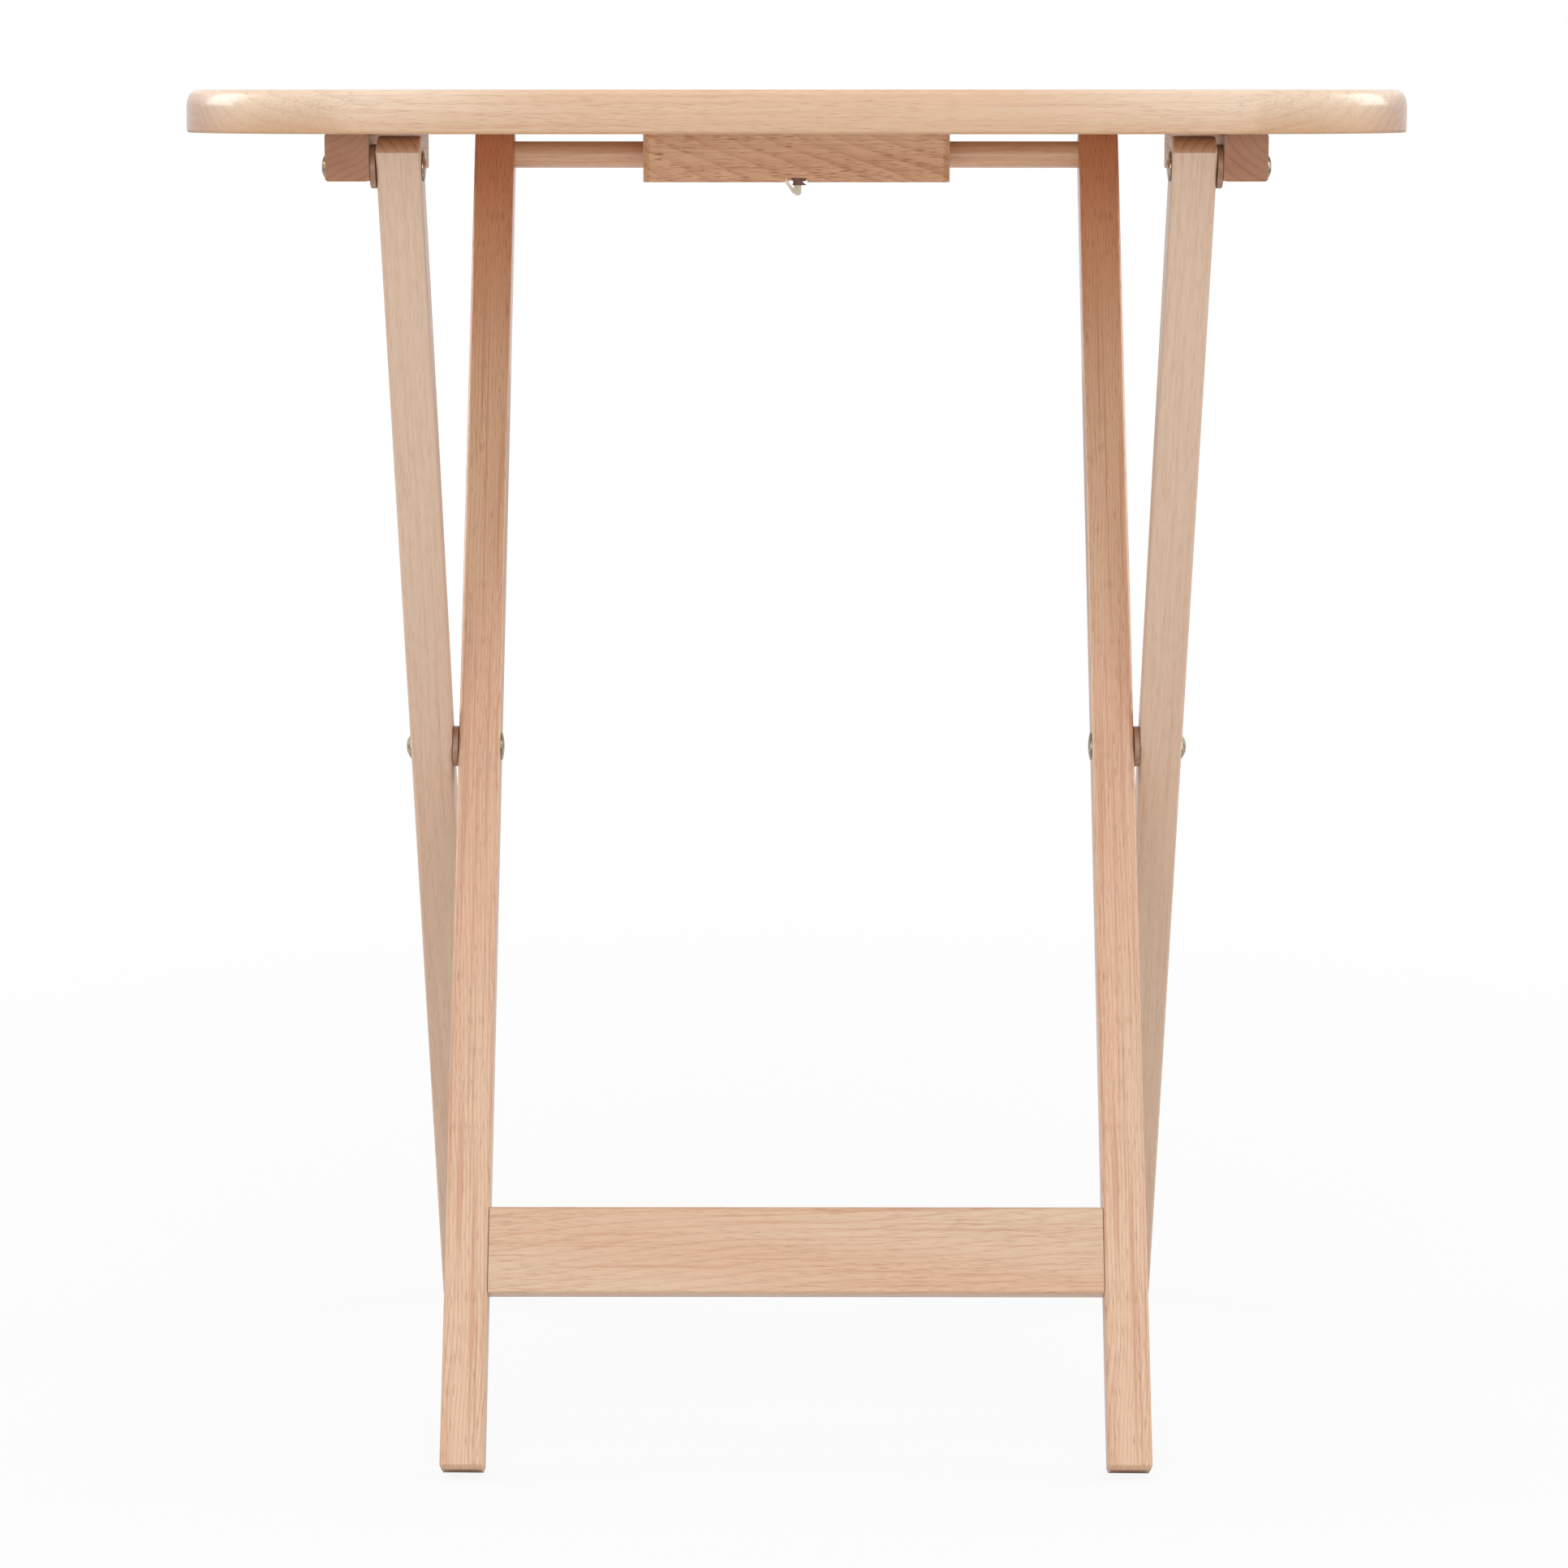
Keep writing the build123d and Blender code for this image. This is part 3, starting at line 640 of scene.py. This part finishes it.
@dataclass
class Legs:
    """The four crossed legs, round at the top and chamfered at the foot."""

    width: float = 21.2 * MM
    thick: float = 18 * MM
    edge: float = 2.0 * MM
    foot: float = 2.2 * MM
    foot_axis: float = 2.6 * MM
    outer_end: float = 14.2 * MM
    inner_end: float = 13.5 * MM
    # redder tops of the inner legs: partly heartwood, partly painted shade under the board
    heart_and_shade: tuple = (0.17, 0.4)

    def chamfer(self) -> tuple[np.ndarray, np.ndarray]:
        """The foot's rows: how high each lies and how far it is drawn in."""
        rise = np.array([0, 0.06, 0.25, -0.35, 0, 0.35, 1.2]) * MM
        drawn = np.array([0.15, -0.02, -0.25, 0.38, 0.1, 0.01, 0]) * MM
        rise[3:] += self.foot
        drawn[:3] += self.foot
        return rise, drawn

    def sections(self, below: float, above: float, end: float) -> tuple[np.ndarray, np.ndarray]:
        """Outlines along a leg, with its places from the middle pivot.

        The top is a half round of radius end about the upper axis: the
        half thickness is end * cos t at above + end * sin t. The foot is
        drawn in at 45 degrees over the chamfer, and less at the sides.
        """
        half = self.thick / 2
        start = math.acos(half / end)
        t = np.linspace(start, math.pi / 2 - 0.02, 16)
        rise, foot_drawn = self.chamfer()
        shoulder = above + end * math.sin(start) - FLAT_LEAD
        place = np.concatenate([rise - below, [shoulder], above + end * np.sin(t)])
        straight = len(rise) + 1
        drawn = np.concatenate([foot_drawn, np.zeros(len(t) + 1)])
        half_y = np.concatenate([np.full(straight, half), end * np.cos(t)]) - drawn
        half_x = self.width / 2 - drawn * 0.45
        past = np.clip((place - above) / end, 0, 1)
        half_x = half_x - 0.9 * MM * past**6
        radius = np.minimum(np.maximum(self.edge - drawn * 0.6, 0.8 * MM), half_y * 0.98)
        return rounded_rectangle(half_x, half_y, radius, 6, 0.1 * MM), place

    def build(self) -> None:
        """Makes both outer and both inner legs about the middle pivot."""
        pivot = middle("mid_spacer_left")
        plans = (
            ("outer", "outer_frame", -LEAN, OUTER_WOOD, PIVOT_SPAN, self.outer_end),
            ("inner", "inner_frame", LEAN, INNER_WOOD, DOWEL_SPAN, self.inner_end),
        )
        # each leg's grain, pith, slope and redder top: heartwood and painted shade
        logs = {
            "outer_left": (Grain.OUTER_LEG, (0.05, 0.035), 0.02, BEYOND),
            "outer_right": (Grain.OUTER_LEG, (-0.05, 0.04), -0.02, BEYOND),
            "inner_left": (Grain.INNER_LEG, (0.11, -0.03), 0.014, self.heart_and_shade),
            "inner_right": (Grain.INNER_LEG, (-0.115, -0.025), -0.012, self.heart_and_shade),
        }
        for kind, body, lean, finish, above, end in plans:
            up = np.array([0, math.sin(lean), math.cos(lean)])
            through = np.array([0, math.cos(lean), -math.sin(lean)])
            below = (pivot[2] - self.foot_axis) / math.cos(lean)
            outline, place = self.sections(below, above, end)
            for side in ("left", "right"):
                node = f"{kind}_leg_{side}"
                centre = middle(node)
                rings = np.array([centre[0], pivot[1], pivot[2]]) + place[:, None, None] * up
                rings = rings + outline[..., :1] * np.array([1.0, 0, 0]) + outline[..., 1:] * through
                rings[..., 2] = np.maximum(rings[..., 2], 0.0)
                grain, pith, slope, heart_and_shade = logs[f"{kind}_{side}"]
                wood = finish.dress(f"wood_{node}", Cut(grain, centre, pith, slope, heart_and_shade=heart_and_shade))
                settle(skin(f"leg_{kind}_{side}", rings, wood), body, "lacquered_wood", node)


@dataclass
class Cleats:
    """The two square battens that carry the upper pivots."""

    edge: float = 1.6 * MM
    ease: float = 0.5 * MM

    def build(self) -> None:
        """Makes each batten as an eased bar along the depth."""
        for side, pith in (("left", (0.022, 0.03)), ("right", (-0.024, 0.028))):
            node = f"cleat_{side}"
            low, high = (np.array(p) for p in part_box(node))
            half, centre = (high - low) / 2, (high + low) / 2
            outline, along = eased_bar((half[0], half[2]), 2 * half[1], self.edge, self.ease)
            place = np.broadcast_to(along[:, None], outline.shape[:2])
            rings = np.stack([outline[..., 0], place, outline[..., 1]], -1) + centre
            wood = CLEAT_WOOD.dress(f"wood_{node}", Cut(Grain.ALONG_DEPTH, centre, pith, 0.01))
            settle(skin(f"batten_{side}", rings, wood), "top", "lacquered_wood", node)


@dataclass
class LowerRail:
    """The flat rail between the inner legs, leaning with them."""

    height: float = 42.1 * MM
    thick: float = 14 * MM
    edge: float = 1.6 * MM
    ease: float = 0.15 * MM
    inset: float = 0.5 * MM
    leg_thick: float = 18 * MM
    down: float = 257.15 * MM

    def build(self) -> None:
        """Makes the rail as an eased bar across the width."""
        pivot = middle("mid_spacer_left")
        low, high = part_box("lower_stretcher")
        half = (self.thick / 2, self.height / 2)
        outline, along = eased_bar(half, high[0] - low[0], self.edge, self.ease)
        up = np.array([0, math.sin(LEAN), math.cos(LEAN)])
        through = np.array([0, math.cos(LEAN), -math.sin(LEAN)])
        front = -self.leg_thick / 2 + self.inset + self.thick / 2
        axis = np.array([0, pivot[1], pivot[2]]) - self.down * up + front * through
        rings = axis + outline[..., :1] * through + outline[..., 1:] * up
        rings = rings + along[:, None, None] * np.array([1.0, 0, 0])
        wood = RAIL_WOOD.dress("wood_rail", Cut(Grain.ALONG_WIDTH, axis, (0.13, 0.03), 0.07))
        settle(skin("lower_rail", rings, wood), "inner_frame", "lacquered_wood", "lower_stretcher")


@dataclass
class LatchDowel:
    """The round bar that the catch holds."""

    edge: float = 1 * MM

    def build(self) -> None:
        """Makes the dowel: circles along the width, drawn in at the ends."""
        low, high = (np.array(p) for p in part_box("latch_dowel"))
        radius, centre = (high[2] - low[2]) / 2, (high + low) / 2
        half = (high[0] - low[0]) / 2
        ends = half - np.array([0, self.edge, self.edge + FLAT_LEAD])
        place = np.concatenate([-ends, ends[::-1]])
        size = radius - np.array([self.edge, 0, 0, 0, 0, self.edge])
        turn = np.linspace(0, 2 * math.pi, 48, endpoint=False)
        across = size[:, None] * np.cos(turn)
        over = size[:, None] * np.sin(turn)
        rings = np.stack([np.broadcast_to(place[:, None], across.shape), across, over], -1)
        wood = DOWEL_WOOD.dress("wood_dowel", Cut(Grain.ALONG_WIDTH, centre, (0.04, 0.03), 0.01))
        settle(skin("latch_bar", rings + centre, wood), "inner_frame", "lacquered_wood", "latch_dowel")


@dataclass
class Hardware:
    """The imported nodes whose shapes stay: they only need their finishes."""

    def dress(self, nodes: Iterable[bpy.types.Object]) -> None:
        """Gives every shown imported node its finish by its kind."""
        nickel, bronzed = NICKEL.dress("nickel_plate"), BRONZED.dress("bronzed_steel")
        nylon, spacer = NATURAL_NYLON.dress("natural_nylon"), SPACER_NYLON.dress("spacer_nylon")
        block_cut = Cut(Grain.ALONG_WIDTH, middle("catch_block"), (0.05, 0.03), -0.4)
        block = BLOCK_WOOD.dress("wood_block", block_cut)
        peg_cut = Cut(Grain.ALONG_WIDTH, middle("stretcher_peg_left_lower"), (0.02, 0.03))
        peg = DOWEL_WOOD.dress("wood_peg", peg_cut)
        kinds = (
            ("catch_block", block),
            ("stretcher_peg", peg),
            ("catch_plate", bronzed),
            ("catch_washer", bronzed),
            ("catch_lug", WORN_STEEL.dress("worn_steel")),
            ("catch_clip", nylon),
            ("spacer", spacer),
            ("screw", nickel),
            ("bolt", nickel),
            ("nut", nickel),
        )
        for node in nodes:
            finish = next((m for word, m in kinds if word in node.name), None)
            if finish is None:
                continue
            for holder in node.material_slots:
                holder.material = finish
            LOG.info("%s keeps its shape and wears %s", node.name, finish.name)


@dataclass
class Studio:
    """A pale floor, soft lights and the camera."""

    lens: float = 95.384
    place: tuple = (0.00018, -2.08656, 0.6605)
    pitch: float = 7.2179
    yaw: float = 0.1756
    shift: float = -0.108
    ambient: float = 0.54
    key: float = 13.5
    fill: float = 15.4
    side: float = 20.0
    overhead: float = 12.0
    floor_tone: float = 0.7
    floor_glow: float = 0.9
    floor_fade: tuple = (0.4, 1.6)

    def area(
        self, name: str, place: Sequence[float], aim: Sequence[float], size: Sequence[float], power: float
    ) -> None:
        """Adds one soft rectangular light that faces its aim."""
        lamp = bpy.data.lights.new(name, "AREA")
        lamp.shape, lamp.size, lamp.size_y, lamp.energy = "RECTANGLE", size[0], size[1], power
        holder = bpy.data.objects.new(name, lamp)
        holder.location = place
        away = np.array(place) - np.array(aim)
        tilt = math.atan2(math.hypot(away[0], away[1]), away[2])
        holder.rotation_euler = (tilt, 0, math.atan2(away[0], -away[1]))
        bpy.context.scene.collection.objects.link(holder)

    def floor(self) -> None:
        """Makes a pale floor that keeps its shade and turns white far away."""
        mesh = bpy.data.meshes.new("floor")
        mesh.from_pydata([(-6, -4, 0), (6, -4, 0), (6, 8, 0), (-6, 8, 0)], [], [(0, 1, 2, 3)])
        sheet = Sheet("studio_floor")
        mesh.materials.append(sheet.surface(Base_Color=(*[self.floor_tone] * 3, 1.0), Roughness=0.9))
        seen = sheet.node("ShaderNodeLightPath").outputs["Is Camera Ray"]
        glow = sheet.node("ShaderNodeEmission", {}, {"Color": (1.0, 1.0, 1.0, 1.0), "Strength": 1.0})
        reach = sheet.term("ShaderNodeVectorMath", {"operation": "LENGTH"}, {0: sheet.place}, "Value")
        bright = reach.step(*self.floor_fade) * (1 - self.floor_glow) + self.floor_glow
        both = sheet.node("ShaderNodeMixShader", {}, {0: Term(sheet, seen) * bright})
        sheet.feed(both.inputs[1], sheet.shader.outputs[0])
        sheet.feed(both.inputs[2], glow.outputs[0])
        sheet.feed(sheet.tree.nodes["Material Output"].inputs["Surface"], both.outputs[0])
        floor = bpy.data.objects.new("floor", mesh)
        floor.location = (0, 0, -0.5 * MM)
        bpy.context.scene.collection.objects.link(floor)

    def surround(self) -> None:
        """Makes a surround that is white to look at and dimmer as a light."""
        world = bpy.data.worlds.new("surround")
        world.use_nodes = True
        tree = world.node_tree
        path = tree.nodes.new("ShaderNodeLightPath")
        share = tree.nodes.new("ShaderNodeMix")
        share.inputs["A"].default_value, share.inputs["B"].default_value = self.ambient, 1.0
        plain = tree.nodes.new("ShaderNodeMath")
        plain.operation = "MAXIMUM"
        tree.links.new(path.outputs["Is Camera Ray"], plain.inputs[0])
        tree.links.new(path.outputs["Is Glossy Ray"], plain.inputs[1])
        tree.links.new(plain.outputs[0], share.inputs["Factor"])
        tree.links.new(share.outputs["Result"], tree.nodes["Background"].inputs["Strength"])
        tree.nodes["Background"].inputs["Color"].default_value = (1.0, 1.0, 1.0, 1.0)
        bpy.context.scene.world = world

    def lights(self) -> None:
        """Adds the soft lights: in front, low in front, at both sides and overhead."""
        self.area("key", (0, -2.2, 1.9), (0, 0, 0.35), (2.6, 1.4), self.key)
        self.area("fill", (0, -2.6, 0.62), (0, 0, 0.5), (2.6, 0.9), self.fill)
        self.area("left_box", (-2.0, 0.4, 1.4), (0, 0, 0.45), (1.0, 1.2), self.side)
        self.area("right_box", (2.0, 0.4, 1.4), (0, 0, 0.45), (1.0, 1.2), self.side)
        self.area("overhead", (0, -0.3, 2.6), (0, 0, 0.5), (2.0, 1.4), self.overhead)

    def camera(self) -> None:
        """Adds the long lens that looks at the table's front."""
        view = bpy.context.scene.view_settings
        view.view_transform, view.look, view.exposure = "Standard", "None", 0.0
        lens = bpy.data.cameras.new("camera")
        lens.lens, lens.sensor_width, lens.shift_y = self.lens, 36.0, self.shift
        lens.clip_start, lens.clip_end = 0.05, 50
        camera = bpy.data.objects.new("camera", lens)
        camera.location = self.place
        camera.rotation_euler = (math.radians(90 - self.pitch), 0.0, math.radians(self.yaw))
        bpy.context.scene.collection.objects.link(camera)
        bpy.context.scene.camera = camera

    def build(self) -> None:
        """Makes the floor, the surround, the lights and the camera."""
        self.floor()
        self.surround()
        self.lights()
        self.camera()


def main() -> None:
    """Loads the frame, builds each sub-assembly and sets up the studio."""
    logging.basicConfig(level=logging.INFO, format="%(message)s")
    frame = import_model()
    Board().build()
    Legs().build()
    Cleats().build()
    LowerRail().build()
    LatchDowel().build()
    Hardware().dress(frame["nodes"].values())
    Studio().build()


if __name__ == "__main__":
    main()
